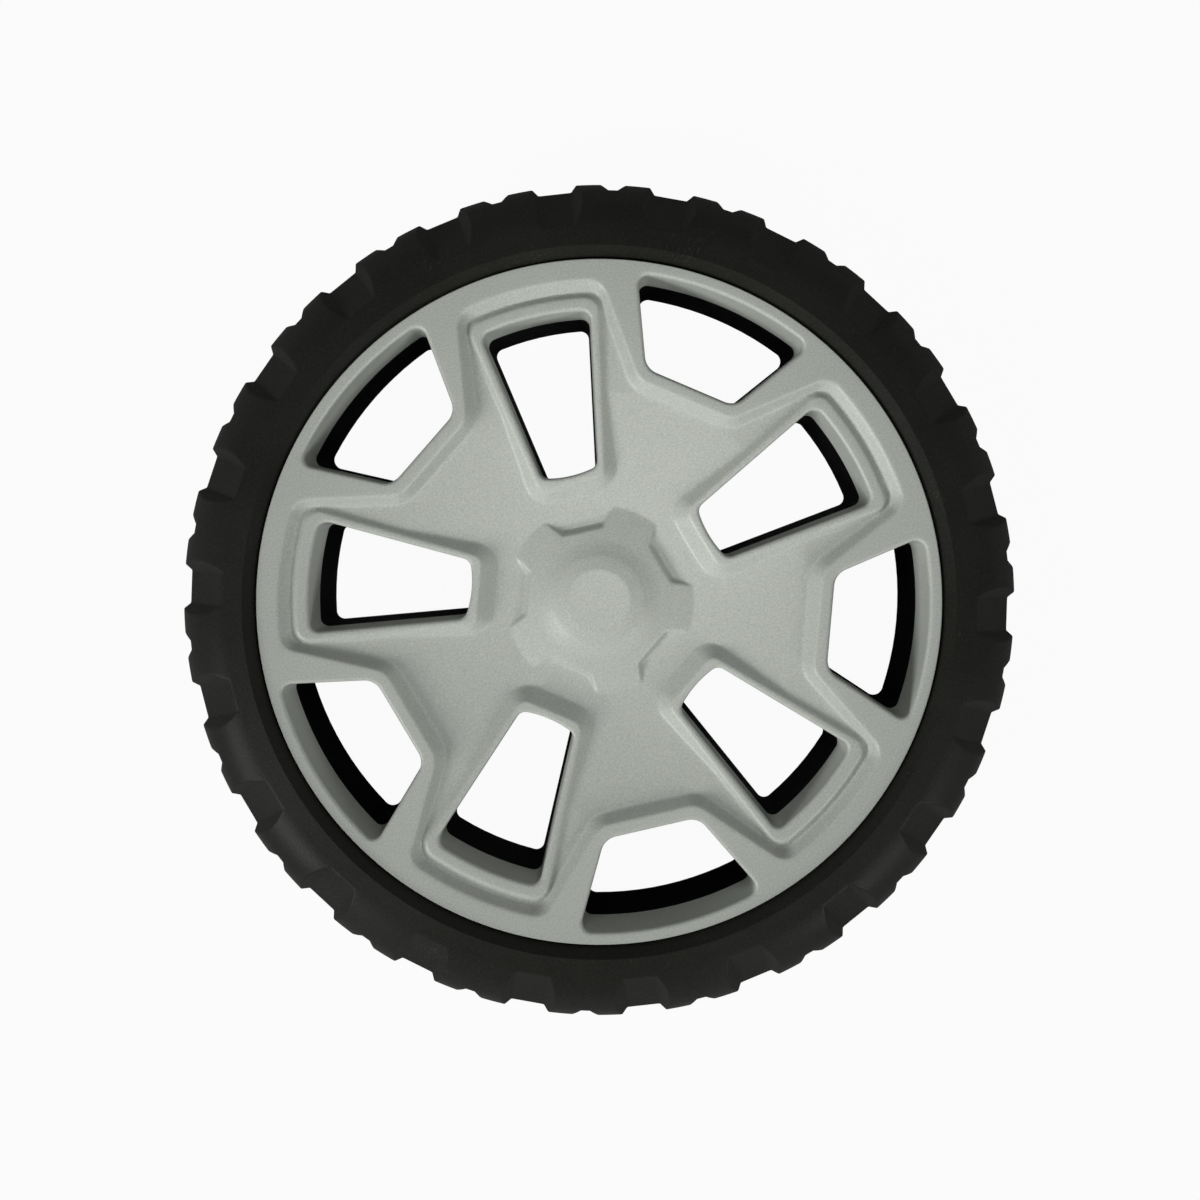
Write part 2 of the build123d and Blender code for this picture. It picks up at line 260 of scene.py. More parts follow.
def scuff_group() -> bpy.types.NodeTree:
    """Rubbed streaks: a stretched noise, gated by a slow noise so that they come in patches.

    Returns:
        A group with inputs Width, Length, Patch (metres) and Share, and output Mask.
    """
    defaults = {"Width": 0.0006, "Length": 0.012, "Patch": 0.03, "Share": 0.4}
    sheet, start = new_group("rubbed_streaks", defaults, ["Mask"])
    place = sheet.add("TexCoord").outputs["Object"]
    across = sheet.math("DIVIDE", 1.0, start.outputs["Width"])
    along = sheet.math("DIVIDE", 1.0, start.outputs["Length"])
    stretch = sheet.add("CombineXYZ", {"X": across, "Y": along, "Z": across})
    slant = {"Vector": place, "Angle": math.radians(35.0)}
    slanted = sheet.add("VectorRotate", slant, rotation_type="Z_AXIS")
    stretched = sheet.add("VectorMath", {0: slanted.outputs["Vector"], 1: stretch.outputs["Vector"]},
                          operation="MULTIPLY")
    streaks = sheet.add("TexNoise", {"Vector": stretched.outputs["Vector"], "Scale": 1.0, "Detail": 2.0})
    patch_scale = sheet.math("DIVIDE", 1.0, start.outputs["Patch"])
    patches = sheet.add("TexNoise", {"Vector": place, "Scale": patch_scale, "Detail": 2.0})
    limit = sheet.math("SUBTRACT", 0.75, start.outputs["Share"])
    past = sheet.math("SUBTRACT", patches.outputs["Fac"], limit)
    gate = sheet.math("MULTIPLY", past, 8.0, clamp=True)
    lines = sheet.spread(streaks.outputs["Fac"], 0.58, 0.72)
    return sheet.close_group({"Mask": sheet.math("MULTIPLY", lines, gate)})


class SharedEffects:
    """The shader node groups that more than one finish uses, built once."""

    def __init__(self) -> None:
        """Build the three groups."""
        self.grain = moulded_grain_group()
        self.specks = pale_specks_group()
        self.scuffs = scuff_group()

    def place(self, sheet: NodeSheet, tree: bpy.types.NodeTree,
              values: dict[str | int, object]) -> bpy.types.Node:
        """Put a group into a material.

        Args:
            sheet: the material's node sheet.
            tree: the group.
            values: its input values.

        Returns:
            The group node.
        """
        return sheet.add("Group", values, node_tree=tree)


@dataclass(frozen=True)
class PlasticFinish:
    """Moulded plastic with fine grain, slow colour drift and a little dust; lengths in metres."""

    name: str
    colour: tuple[float, float, float]
    dust_colour: tuple[float, float, float]
    roughness: float
    grain_bump: float
    drift: float
    grain_tint: float
    speck_share: float
    gloss: float
    grain_size: float = 0.0005
    blotch_size: float = 0.03
    speck_spacing: float = 0.008
    speck_radius: float = 0.035
    bump_depth: float = 0.0001

    def make(self, effects: SharedEffects) -> bpy.types.Material:
        """Build the material.

        Args:
            effects: the shared node groups.

        Returns:
            The finished material.
        """
        material, sheet, shader = new_material(self.name)
        grain = effects.place(sheet, effects.grain, {"Size": self.grain_size, "Blotch": self.blotch_size})
        specks = effects.place(sheet, effects.specks, {
            "Spacing": self.speck_spacing, "Radius": self.speck_radius, "Share": self.speck_share,
        })
        height, blotch = grain.outputs["Height"], grain.outputs["Blotch"]
        dark = (*[channel * (1 - self.drift) for channel in self.colour], 1)
        light = (*[channel * (1 + self.drift) for channel in self.colour], 1)
        drifted = sheet.mix(sheet.spread(blotch, 0.35, 0.65), dark, light)
        flecks = sheet.spread(height, 0.3, 0.7, 1 - self.grain_tint, 1 + self.grain_tint)
        tinted = sheet.add("VectorMath", {0: drifted, "Scale": flecks}, operation="SCALE")
        dusted = sheet.mix(specks.outputs["Mask"], tinted.outputs["Vector"], (*self.dust_colour, 1))
        rough = sheet.spread(blotch, 0.3, 0.7, self.roughness - 0.04, self.roughness + 0.04)
        bump = sheet.add("Bump", {"Height": height, "Strength": self.grain_bump, "Distance": self.bump_depth})
        set_inputs(shader, {"Base Color": dusted, "Roughness": rough, "Normal": bump.outputs["Normal"]})
        shader.inputs["Specular IOR Level"].default_value = self.gloss
        return material


@dataclass(frozen=True)
class RubberFinish:
    """Black rubber with a dull bloom, pale specks and rubbed streaks; lengths in metres."""

    name: str
    colour: tuple[float, float, float]
    bloom_colour: tuple[float, float, float]
    scuff_colour: tuple[float, float, float]
    roughness: float
    scuff_share: float
    speck_share: float
    grain_tint: float
    gloss: float
    scuff_strength: float = 0.6
    speck_strength: float = 0.7
    grain_size: float = 0.0005
    grain_bump: float = 0.7
    blotch_size: float = 0.035
    speck_spacing: float = 0.007
    speck_radius: float = 0.035
    bump_depth: float = 0.0001

    def make(self, effects: SharedEffects) -> bpy.types.Material:
        """Build the material.

        Args:
            effects: the shared node groups.

        Returns:
            The finished material.
        """
        material, sheet, shader = new_material(self.name)
        grain = effects.place(sheet, effects.grain, {"Size": self.grain_size, "Blotch": self.blotch_size})
        specks = effects.place(sheet, effects.specks, {
            "Spacing": self.speck_spacing, "Radius": self.speck_radius, "Share": self.speck_share,
        })
        scuffs = effects.place(sheet, effects.scuffs, {"Share": self.scuff_share})
        height, blotch = grain.outputs["Height"], grain.outputs["Blotch"]
        bloom = sheet.spread(blotch, 0.38, 0.68)
        colour = sheet.mix(bloom, (*self.colour, 1), (*self.bloom_colour, 1))
        marks = (
            (sheet.spread(height, 0.46, 0.7), self.grain_tint),
            (scuffs.outputs["Mask"], self.scuff_strength),
            (specks.outputs["Mask"], self.speck_strength),
        )
        for mask, strength in marks:
            colour = sheet.mix(sheet.math("MULTIPLY", mask, strength), colour, (*self.scuff_colour, 1))
        rough = sheet.spread(blotch, 0.3, 0.7, self.roughness - 0.05, self.roughness + 0.08)
        bump = sheet.add("Bump", {"Height": height, "Strength": self.grain_bump, "Distance": self.bump_depth})
        set_inputs(shader, {"Base Color": colour, "Roughness": rough, "Normal": bump.outputs["Normal"]})
        shader.inputs["Specular IOR Level"].default_value = self.gloss
        return material


@dataclass(frozen=True)
class SteelFinish:
    """Machined steel with turning lines round the axis and a trace of oil film; lengths in metres."""

    name: str
    colour: tuple[float, float, float]
    roughness: float
    line_size: float
    line_bump: float
    stain_share: float = 0.72
    grain_size: float = 0.0008
    blotch_size: float = 0.006
    bump_depth: float = 0.00005

    def make(self, effects: SharedEffects) -> bpy.types.Material:
        """Build the material.

        Args:
            effects: the shared node groups.

        Returns:
            The finished material.
        """
        material, sheet, shader = new_material(self.name)
        grain = effects.place(sheet, effects.grain, {"Size": self.grain_size, "Blotch": self.blotch_size})
        place = sheet.add("TexCoord").outputs["Object"]
        parts = sheet.add("SeparateXYZ", {"Vector": place})
        squares = [sheet.math("MULTIPLY", parts.outputs[axis], parts.outputs[axis]) for axis in ("X", "Y")]
        radius = sheet.math("SQRT", sheet.math("ADD", *squares))
        lined = sheet.add("CombineXYZ", {"X": radius, "Z": parts.outputs["Z"]}).outputs["Vector"]
        lines = sheet.add("TexNoise", {"Vector": lined, "Scale": 1 / self.line_size, "Detail": 1.0})
        stain = sheet.spread(grain.outputs["Blotch"], 0.35, 0.7)
        stained = (*[channel * self.stain_share for channel in self.colour], 1)
        colour = sheet.mix(stain, (*self.colour, 1), stained)
        rough = sheet.spread(lines.outputs["Fac"], 0.3, 0.7, self.roughness - 0.06, self.roughness + 0.1)
        bump = sheet.add("Bump", {
            "Height": lines.outputs["Fac"], "Strength": self.line_bump, "Distance": self.bump_depth,
        })
        set_inputs(shader, {"Base Color": colour, "Roughness": rough, "Normal": bump.outputs["Normal"]})
        shader.inputs["Metallic"].default_value = 1.0
        return material


FINISHES = {
    Slot.TYRE: RubberFinish(
        "tyre_black_rubber", colour=(0.0097, 0.0105, 0.0082), bloom_colour=(0.0133, 0.0143, 0.0115),
        scuff_colour=(0.06, 0.062, 0.054), roughness=0.38, scuff_share=0.17, speck_share=0.08,
        grain_tint=0.16, gloss=0.055,
    ),
    Slot.COVER: PlasticFinish(
        "cover_silver_grey", colour=(0.415, 0.438, 0.400), dust_colour=(0.60, 0.61, 0.57), roughness=0.38,
        grain_bump=0.45, drift=0.015, grain_tint=0.15, speck_share=0.03, gloss=0.3,
    ),
    Slot.BODY: PlasticFinish(
        "body_black_plastic", colour=(0.0018, 0.0018, 0.0020), dust_colour=(0.02, 0.02, 0.019),
        roughness=0.60, grain_bump=0.2, drift=0.10, grain_tint=0.10, speck_share=0.05, gloss=0.02,
    ),
    Slot.SPACER: SteelFinish(
        "spacer_turned_steel", colour=(0.45, 0.45, 0.44), roughness=0.36, line_size=0.0003, line_bump=0.3,
    ),
    Slot.BEARING: SteelFinish(
        "bearing_ground_steel", colour=(0.56, 0.56, 0.55), roughness=0.24, line_size=0.00015, line_bump=0.12,
    ),
    Slot.BALL: SteelFinish(
        "ball_polished_steel", colour=(0.62, 0.62, 0.62), roughness=0.12, line_size=0.0005, line_bump=0.02,
    ),
    Slot.CAGE: SteelFinish(
        "cage_pressed_steel", colour=(0.50, 0.48, 0.43), roughness=0.34, line_size=0.0004, line_bump=0.15,
    ),
    Slot.SEAL: RubberFinish(
        "seal_black_rubber", colour=(0.010, 0.010, 0.010), bloom_colour=(0.018, 0.018, 0.018),
        scuff_colour=(0.06, 0.06, 0.055), roughness=0.48, scuff_share=0.15, speck_share=0.05,
        grain_tint=0.05, gloss=0.2,
    ),
}


class FinishShelf:
    """Every finish as a material, made once."""

    def __init__(self) -> None:
        """Build the shared groups and all materials."""
        effects = SharedEffects()
        self.materials = {slot: finish.make(effects) for slot, finish in FINISHES.items()}

    def dress(self, piece: bpy.types.Object, slot: Slot) -> None:
        """Give a piece the material of a slot.

        Args:
            piece: the object to dress.
            slot: the record's slot.
        """
        piece.data.materials.clear()
        piece.data.materials.append(self.materials[slot])


def grid_quads(rows: int, columns: int, closed_rows: bool = False) -> np.ndarray:
    """Quads of a grid whose columns close round and whose rows may close too.

    Args:
        rows: number of rows.
        columns: number of columns.
        closed_rows: whether the last row joins the first.

    Returns:
        Array of shape (faces, 4) of row-major point numbers.
    """
    row = np.arange(rows if closed_rows else rows - 1)[:, None]
    column = np.arange(columns)[None, :]
    next_row = (row + 1) % rows
    next_column = (column + 1) % columns
    corners = (
        row * columns + column, row * columns + next_column,
        next_row * columns + next_column, next_row * columns + column,
    )
    return np.stack(np.broadcast_arrays(*corners), axis=-1).reshape(-1, 4)


def turned(points: np.ndarray, degrees: float) -> np.ndarray:
    """Points turned round the wheel's axis.

    Args:
        points: array whose last axis starts with x and y.
        degrees: the angle.

    Returns:
        The turned copy.
    """
    angle = math.radians(degrees)
    result = points.copy()
    result[..., 0] = points[..., 0] * math.cos(angle) - points[..., 1] * math.sin(angle)
    result[..., 1] = points[..., 0] * math.sin(angle) + points[..., 1] * math.cos(angle)
    return result


def soft_least(first: np.ndarray, second: np.ndarray, softness: float) -> np.ndarray:
    """Lesser of two values, with a parabola across the place where they meet.

    Args:
        first: first value.
        second: second value.
        softness: difference below which the two are blended.

    Returns:
        The blended least.
    """
    overlap = np.maximum(softness - np.abs(first - second), 0)
    return np.minimum(first, second) - overlap ** 2 / (4 * softness)


def fold(angle: np.ndarray, period: float) -> np.ndarray:
    """Angle brought to within half a period of zero.

    Args:
        angle: the angle.
        period: the period.

    Returns:
        The folded angle.
    """
    return (angle + period / 2) % period - period / 2


def rounded_corner(first: np.ndarray, second: np.ndarray, cosine: float, radius: float) -> np.ndarray:
    """Distance outside a corner of two edges, rounded by an arc.

    Both distances are moved in by the radius; beyond both moved edges the distance is that to their
    crossing, elsewhere it is the greater of the two; the radius is then taken off again.

    Args:
        first: distance outside the first edge.
        second: distance outside the second edge.
        cosine: cosine of the angle between the two edges' outward directions.
        radius: radius of the arc.

    Returns:
        Distance outside the rounded corner.
    """
    one, two = first + radius, second + radius
    beyond = (one - cosine * two > 0) & (two - cosine * one > 0)
    square = (one ** 2 + two ** 2 - 2 * cosine * one * two) / (1 - cosine ** 2)
    return np.where(beyond, np.sqrt(np.maximum(square, 0)), np.maximum(one, two)) - radius


def beside(along: np.ndarray, across: np.ndarray, half_width: float, foot: float,
           degrees: float) -> np.ndarray:
    """Distance outside the nearer of two straight sides that spread from a middle line.

    Args:
        along: place along the middle line.
        across: place across it.
        half_width: half of the width at the foot.
        foot: place along the line where that width is taken.
        degrees: angle between each side and the line.

    Returns:
        Distance, negative between the sides.
    """
    lean = math.radians(degrees)
    return (np.abs(across) - half_width - math.tan(lean) * (along - foot)) * math.cos(lean)


class MeshStack:
    """Patches of one piece, gathered before they are merged into one mesh."""

    def __init__(self) -> None:
        """Start with no patches."""
        self.points: list[np.ndarray] = []
        self.faces: list[list[int]] = []
        self.count = 0

    def add(self, points: np.ndarray, *faces: np.ndarray) -> None:
        """Add a patch.

        Args:
            points: array whose last axis is x, y and z in millimetres.
            faces: arrays of shape (m, corners) of numbers into points.
        """
        self.points.append(points.reshape(-1, 3))
        for patch in faces:
            self.faces.extend((patch + self.count).tolist())
        self.count += self.points[-1].shape[0]

    def piece(self, name: str, sharp_degrees: float) -> bpy.types.Object:
        """Merge the patches into one closed, outward-facing, smooth-shaded object.

        Args:
            name: the object's name.
            sharp_degrees: edges with a larger angle stay sharp.

        Returns:
            The new object, linked to the scene.
        """
        mesh = bpy.data.meshes.new(name)
        mesh.from_pydata((np.concatenate(self.points) * MILLIMETRE).tolist(), [], self.faces)
        work = bmesh.new()
        work.from_mesh(mesh)
        bmesh.ops.remove_doubles(work, verts=work.verts, dist=WELD_DISTANCE * MILLIMETRE)
        bmesh.ops.recalc_face_normals(work, faces=work.faces)
        work.to_mesh(mesh)
        work.free()
        mesh.shade_smooth()
        mesh.set_sharp_from_angle(angle=math.radians(sharp_degrees))
        piece = bpy.data.objects.new(name, mesh)
        bpy.context.scene.collection.objects.link(piece)
        return piece


@dataclass
class LuggedTyre:
    """Solid tyre with drafted notches from both shoulders in turn, in millimetres and degrees."""

    levels: WheelLevels = LEVELS
    crown_radius: float = 124.25
    crown_width: float = 26.0
    lug_depth: float = 2.2
    pitches: int = 22
    first_notch: float = 99.68
    notch_floor_width: float = 9.8
    notch_narrow_width: float = 3.6
    notch_least_half: float = 0.6
    notch_inner_height: float = 9.4
    notch_margin: float = 0.6
    wall_spread: float = 0.85
    least_wall_turn: float = 0.0004
    flattest_lean: float = -0.05
    lip_width: float = 3.4
    lip_sink: float = 1.5
    sidewall_width: float = 5.6
    sidewall_drop: float = 1.1
    shoulder_bulge: float = 2.0
    anchor_width: float = 12.0
    anchor_height: float = 4.0
    anchor_flare: float = 1.0
    edge_softness: float = 0.3
    foot_softness: float = 0.2
    sharp_degrees: float = 32.0

    def arc(self, start: np.ndarray, middle: np.ndarray, end: np.ndarray, shares: np.ndarray) -> np.ndarray:
        """Points on the circle through three points, at even shares of its angle.

        Args:
            start: first point as radius and height.
            middle: a point between.
            end: last point.
            shares: shares of the way from start to end.

        Returns:
            Array of shape (n, 2).
        """
        chord = np.stack([middle - start, end - start])
        centre = start + np.linalg.solve(2 * chord, (chord ** 2).sum(1))
        reach = np.hypot(*(start - centre))
        first = math.atan2(*(start - centre)[::-1])
        last = math.atan2(*(end - centre)[::-1])
        angle = first + shares * (last - first)
        return centre + reach * np.stack([np.cos(angle), np.sin(angle)], axis=-1)

    def half_profile(self) -> np.ndarray:
        """Front half of the profile, from the bead to the middle of the crown, as radius and height.

        The lip climbs to the crest, the sidewall falls from there as a cone, the shoulder is an arc and
        the crown is level. Rows lie closer where the profile bends.

        Returns:
            Array of shape (rows, 2).
        """
        width = self.levels.tyre_width
        lip_shares = np.array([0.0, 0.08, 0.35, 0.7, 0.9, 0.96, 1.0])
        wall_shares = np.linspace(0.03, 0.96, 9)
        shoulder_shares = np.concatenate([np.linspace(0.015, 0.97, 24), [0.99]])
        crown_depths = np.array([0.0, 0.25, 0.6, 1.6, 3.2, 5.0, 7.0, 9.0, 11.0, 13.0])
        bead = np.array([self.levels.rim_radius, self.levels.front - self.lip_sink])
        crest = np.array([self.levels.rim_radius + self.lip_width, width])
        shoulder = np.array([crest[0] + self.sidewall_width, width - self.sidewall_drop])
        crown = np.array([self.crown_radius, (width + self.crown_width) / 2])
        run = crown - shoulder
        bulge = (shoulder + crown) / 2 + self.shoulder_bulge * np.array([-run[1], run[0]]) / np.hypot(*run)
        lip = bead + lip_shares[:, None] * (crest - bead)
        wall = crest + wall_shares[:, None] * (shoulder - crest)
        corner = self.arc(shoulder, bulge, crown, shoulder_shares)
        top = np.stack([np.full_like(crown_depths, self.crown_radius), crown[1] - crown_depths], axis=-1)
        return np.concatenate([lip, wall, corner, top])

    def notch_edges(self, radius: np.ndarray, height: np.ndarray) -> tuple[np.ndarray, ...]:
        """Where a front notch lies at each profile row.

        The floor is level under the crown and falls inwards across the shoulder; its width shrinks towards
        the rear. The wall leaves the floor's edge and spreads with height, and meets the tyre where their
        radii agree.

        Args:
            radius: tyre radius of each row.
            height: height of each row.

        Returns:
            Floor radius, half width, angle of the floor's edge and angle of the wall's top.
        """
        crown_edge = (self.levels.tyre_width + self.crown_width) / 2
        floor_radius = self.crown_radius - self.lug_depth
        notch_end = self.levels.rim_radius + self.notch_inner_height
        fall = (floor_radius - notch_end) / (self.levels.tyre_width - self.sidewall_drop - crown_edge)
        taper = (self.notch_floor_width - self.notch_narrow_width) / self.crown_width
        floor = floor_radius - fall * np.maximum(height - crown_edge, 0)
        half = (self.notch_floor_width - taper * np.maximum(crown_edge - height, 0)) / 2
        half = np.maximum(half, self.notch_least_half)
        inner = np.arctan2(half, floor)
        reach = np.maximum(radius, floor) * math.hypot(1, self.wall_spread)
        lean = np.clip((half - self.wall_spread * floor) / reach, -1, 1)
        outer = math.atan(self.wall_spread) + np.arcsin(lean)
        return floor, half, inner, np.maximum(outer, inner + self.least_wall_turn)

    def notch_radius(self, floor: np.ndarray, half: np.ndarray, angle: np.ndarray) -> np.ndarray:
        """Radius of the notch's surface at an angle from its middle.

        It is that of the floor plane or of the wall plane, whichever is greater, softly joined.

        Args:
            floor: floor radius.
            half: half of the floor's width.
            angle: angle from the notch's middle.

        Returns:
            Radius of the cut.
        """
        angle = np.abs(angle)
        lean = np.minimum(np.sin(angle) - self.wall_spread * np.cos(angle), self.flattest_lean)
        wall = (half - self.wall_spread * floor) / lean
        return -soft_least(-floor / np.cos(angle), -wall, self.foot_softness)

    def surface(self) -> tuple[np.ndarray, int]:
        """Outer skin: profile rows against columns that follow every notch edge.

        Each half pitch runs from a front notch's middle to a rear notch's middle, in five spans: floor,
        wall, land, wall, floor. The radius is the soft least of the tyre's own radius and of both notches.

        Returns:
            Points of shape (rows, columns, 3) and the number of columns.
        """
        front = self.half_profile()
        rear = front[-2::-1] * [1, -1] + [0, self.levels.tyre_width]
        profile = np.concatenate([front, rear])
        radius, height = profile[:, 0], profile[:, 1]
        half_pitch = math.pi / self.pitches
        near = self.notch_edges(radius, height)
        far = self.notch_edges(radius, self.levels.tyre_width - height)
        marks = np.stack([
            np.zeros_like(radius), near[2], near[3], half_pitch - far[3], half_pitch - far[2],
            np.full_like(radius, half_pitch),
        ], axis=-1)
        spans = (
            np.array([0.0, 0.5, 0.88]), np.array([0.0, 0.12, 0.5, 0.86]),
            np.array([0.0, 0.05, 0.14, 0.32, 0.5, 0.68, 0.86, 0.95]),
            np.array([0.0, 0.14, 0.5, 0.88]), np.array([0.0, 0.12, 0.5]),
        )
        offset = np.concatenate([
            marks[:, [i]] + share * (marks[:, [i + 1]] - marks[:, [i]]) for i, share in enumerate(spans)
        ], axis=1)
        mirrored = 2 * half_pitch - np.concatenate([offset[:, 1:], marks[:, [-1]]], axis=1)[:, ::-1]
        pitch = np.concatenate([offset, mirrored], axis=1)
        cuts = [
            self.notch_radius(edges[0][:, None], edges[1][:, None], fold(pitch - middle, 2 * half_pitch))
            for edges, middle in ((near, 0.0), (far, half_pitch))
        ]
        land = np.broadcast_to(radius[:, None], pitch.shape)
        cut = soft_least(land, np.minimum(*cuts), self.edge_softness)
        free = radius < self.levels.rim_radius + self.notch_inner_height - self.notch_margin
        reach = np.tile(np.where(free[:, None], land, cut), (1, self.pitches))
        starts = math.radians(self.first_notch) + 2 * half_pitch * np.arange(self.pitches)
        angle = (starts[None, :, None] + pitch[:, None, :]).reshape(len(radius), -1)
        points = np.stack([reach * np.cos(angle), reach * np.sin(angle),
                           np.broadcast_to(height[:, None], angle.shape)], axis=-1)
        return points, angle.shape[1]

    def build(self) -> bpy.types.Object:
        """Make the tyre: the outer skin closed by the seat that grips the rim's anchor ridge.

        Returns:
            The tyre object.
        """
        skin, columns = self.surface()
        middle = self.levels.tyre_width / 2
        half, rim = self.anchor_width / 2, self.levels.rim_radius
        seat = np.array([
            (rim, middle - half), (rim + self.anchor_height, middle - half - self.anchor_flare),
            (rim + self.anchor_height, middle + half + self.anchor_flare), (rim, middle + half),
        ])
        angle = np.arctan2(skin[0, :, 1], skin[0, :, 0])
        inside = np.stack([seat[:, [0]] * np.cos(angle), seat[:, [0]] * np.sin(angle),
                           np.broadcast_to(seat[:, [1]], (len(seat), columns))], axis=-1)
        rows = np.concatenate([skin, inside])
        stack = MeshStack()
        stack.add(rows, grid_quads(rows.shape[0], columns, closed_rows=True))
        return stack.piece("tyre_rubber", self.sharp_degrees)


@dataclass(frozen=True)
class WindowOutline:
    """One kind of window: its distance function and where its middle lies, in millimetres."""

    kind: WindowKind
    middle: float
    outer_radius: float
    inner_edge: float
    inner_bulge: float
    half_width: float
    side_angle: float
    outer_corner: float
    inner_corner: float
    outer_cosine: float
    inner_cosine: float

    def outside(self, along: np.ndarray, across: np.ndarray) -> np.ndarray:
        """Distance outside the window, from its outer arc, inner edge and two flat sides.

        A long window's inner edge is an arc that bulges towards the hub, a wide one's is straight.

        Args:
            along: place along the window's own axis.
            across: place across it.

        Returns:
            Distance, negative inside.
        """
        radius = np.hypot(along, across)
        if self.kind is WindowKind.LONG:
            foot = 0.0
            inner = np.hypot(along - self.inner_edge - self.inner_bulge, across) - self.inner_bulge
        else:
            foot = self.inner_edge
            inner = self.inner_edge - along
        side = beside(along, across, self.half_width, foot, self.side_angle)
        outer = rounded_corner(radius - self.outer_radius, side, self.outer_cosine, self.outer_corner)
        return np.maximum(outer, rounded_corner(inner, side, self.inner_cosine, self.inner_corner))

    def local(self, x: np.ndarray, y: np.ndarray) -> tuple[np.ndarray, np.ndarray]:
        """Place along and across the nearest window of this kind.

        Args:
            x: x of each point.
            y: y of each point.

        Returns:
            Places along and across.
        """
        radius = np.hypot(x, y)
        pitch = 2 * math.pi / LEVELS.window_count
        angle = fold(np.arctan2(y, x) - math.radians(self.kind.value), pitch)
        return radius * np.cos(angle), radius * np.sin(angle)

    def reach(self, offsets: np.ndarray, rays: np.ndarray) -> np.ndarray:
        """Ends of rays from the window's middle, each halved until its end has the wanted distance.

        Args:
            offsets: distances outside the edge, one per ring.
            rays: angles of the rays.

        Returns:
            Array of shape (rings, rays, 2) on the window's own axes.
        """
        low = np.zeros((len(offsets), len(rays)))
        high = np.full((len(offsets), len(rays)), LONGEST_RAY)
        for _ in range(RAY_HALVINGS):
            half = (low + high) / 2
            far = self.outside(self.middle + half * np.cos(rays), half * np.sin(rays)) > offsets[:, None]
            low, high = np.where(far, low, half), np.where(far, half, high)
        return np.stack([self.middle + high * np.cos(rays), high * np.sin(rays)], axis=-1)

    def rings(self, offsets: np.ndarray, spacing: float) -> np.ndarray:
        """Closed outlines at set distances from the window's edge.

        The rays are first spread evenly in angle, then again so that their ends are even along the edge.

        Args:
            offsets: distances outside the edge, one per ring.
            spacing: distance between points along the edge.

        Returns:
            Array of shape (rings, points, 2) on the window's own axes.
        """
        rays = np.linspace(-math.pi, math.pi, RAY_COUNT)
        edge = self.reach(np.zeros(1), rays)[0]
        length = np.concatenate([[0], np.cumsum(np.hypot(*np.diff(edge, axis=0).T))])
        count = int(length[-1] / spacing)
        even = np.interp(np.arange(count) * length[-1] / count, length, rays)
        return self.reach(offsets, even)


LONG_WINDOW = WindowOutline(
    WindowKind.LONG, middle=64.0, outer_radius=85.7, inner_edge=37.95, inner_bulge=32.0, half_width=1.63,
    side_angle=10.1, outer_corner=3.1, inner_corner=3.0, outer_cosine=0.02, inner_cosine=0.415,
)
WIDE_WINDOW = WindowOutline(
    WindowKind.WIDE, middle=84.0, outer_radius=97.0, inner_edge=68.4, inner_bulge=0.0, half_width=14.1,
    side_angle=28.3, outer_corner=3.0, inner_corner=5.5, outer_cosine=-0.207, inner_cosine=0.474,
)


